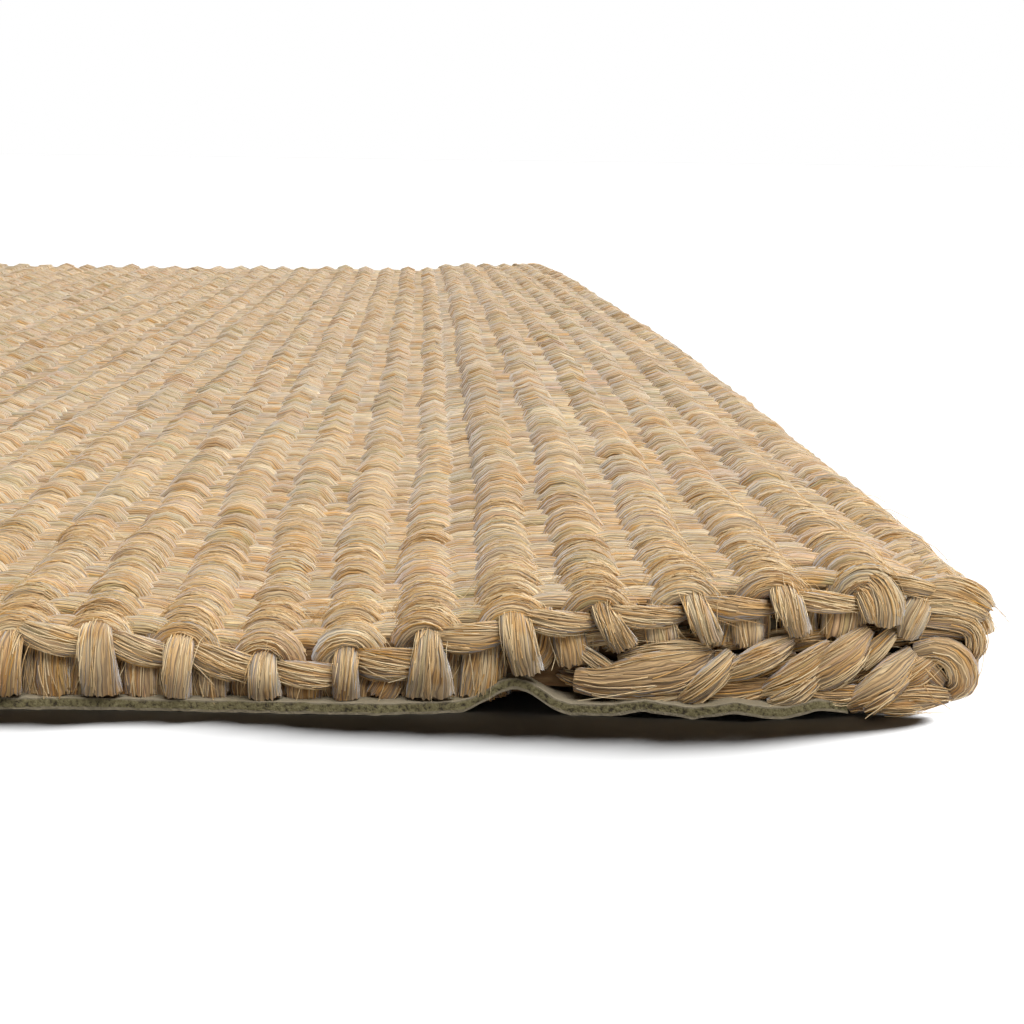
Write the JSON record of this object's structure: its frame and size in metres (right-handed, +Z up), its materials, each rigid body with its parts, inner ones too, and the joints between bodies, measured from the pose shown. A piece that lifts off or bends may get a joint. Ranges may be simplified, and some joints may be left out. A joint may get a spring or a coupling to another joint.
{
  "type": "sisal rug",
  "caption": "Thick woven sisal rug laid flat, ribbed along its length, with folded side hems over a thin latex backing.",
  "frame": {"origin": "middle of the rug on the surface it lies on", "axes": "+X across the ribs to the right, +Y along the ribs from the front edge to the back edge, +Z up"},
  "size_m": [0.4, 0.6, 0.015],
  "materials": {
    "sisal_weave": "undyed sisal yarn, coarse and slightly glossy",
    "latex_sheet": "grey-green foamed latex with a pale skin"
  },
  "bodies": {
    "root": {"sisal_cloth": "sisal_weave", "latex_backing": "latex_sheet"}
  },
  "joints": []
}
